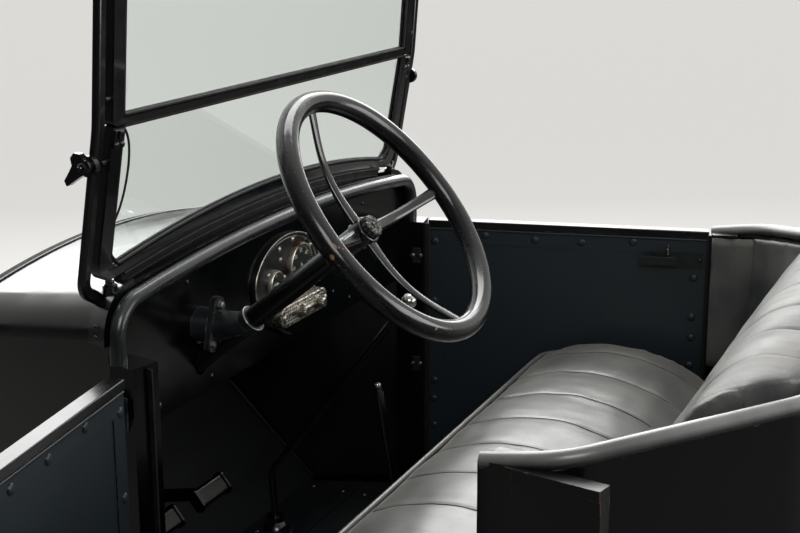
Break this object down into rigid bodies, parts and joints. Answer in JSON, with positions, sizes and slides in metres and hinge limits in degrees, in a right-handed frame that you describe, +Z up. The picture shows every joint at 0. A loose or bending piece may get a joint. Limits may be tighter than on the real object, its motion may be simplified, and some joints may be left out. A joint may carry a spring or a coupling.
{
  "type": "touring car driver's compartment",
  "caption": "Open front compartment of a vintage touring car with scuttle, split windscreen, turning steering wheel, bench seat, hinged doors, pedals and levers.",
  "frame": {"origin": "on the underside of the body sills, on the centre line, straight below the centre of the steering wheel's rim", "axes": "+X to the car's left, -Y forward, +Z up"},
  "size_m": [1.8475, 1.4657, 1.3344],
  "materials": {
    "body_enamel": "gloss black coach enamel, aged",
    "frame_enamel": "gloss black enamel",
    "instrument_enamel": "satin black enamel",
    "rim_lacquer": "black lacquered wood, polished by hands",
    "nickel": "aged nickel plate",
    "steel": "worn steel",
    "cast_iron": "black painted casting",
    "leather": "black leather, creased, semi gloss",
    "sill_wood": "dark stained ash",
    "floor_wood": "dark painted boards, worn",
    "rubber": "matte black rubber",
    "glass": "clear plate glass"
  },
  "bodies": {
    "body": {"cowl": "body_enamel", "cowl_roll": "body_enamel", "firewall": "body_enamel", "instrument_board": "body_enamel", "instrument_plate": "instrument_enamel", "dials": "nickel", "switch_box": "nickel", "column_bracket": "cast_iron", "sills": "sill_wood", "cross_sills": "sill_wood", "floor_boards": "floor_wood", "toe_board": "floor_wood", "a_posts": "body_enamel", "b_posts": "body_enamel", "side_panels": "body_enamel", "hinge_brackets": "cast_iron", "seat_bay": "body_enamel", "seat_bay_roll": "body_enamel", "side_trims": "leather", "seat_frame": "sill_wood", "seat_cushion": "leather", "back_cushion": "leather", "stanchions": "frame_enamel", "lower_frame": "frame_enamel", "upper_frame": "frame_enamel", "panes": "glass", "weather_strip": "rubber", "pane_fittings": "frame_enamel", "column_tube": "frame_enamel", "pedals": "cast_iron", "gear_lever": "frame_enamel", "gear_knob": "steel", "hand_brake": "frame_enamel"},
    "steering": {"wheel_rim": "rim_lacquer", "wheel_spider": "frame_enamel", "horn_button": "rubber", "steering_shaft": "steel"},
    "left_door": {"left_door_panel": "body_enamel", "left_door_rail": "body_enamel", "left_door_latch": "steel", "left_door_straps": "cast_iron"},
    "right_door": {"right_door_panel": "body_enamel", "right_door_rail": "body_enamel", "right_door_latch": "steel", "right_door_straps": "cast_iron"}
  },
  "joints": [
    {"name": "steering_turn", "type": "hinge", "parent": "body", "child": "steering", "pos_m": [0.289, 0, 0.87], "axis": [0, 0.779, 0.627], "range_deg": [-450, 450]},
    {"name": "left_door_swing", "type": "hinge", "parent": "body", "child": "left_door", "pos_m": [0.55236, -0.31821, 0.365], "axis": [0, 0, 1], "range_deg": [0, 69]},
    {"name": "right_door_swing", "type": "hinge", "parent": "body", "child": "right_door", "pos_m": [-0.55236, -0.31821, 0.365], "axis": [0, 0, 1], "range_deg": [0, 69]}
  ]
}
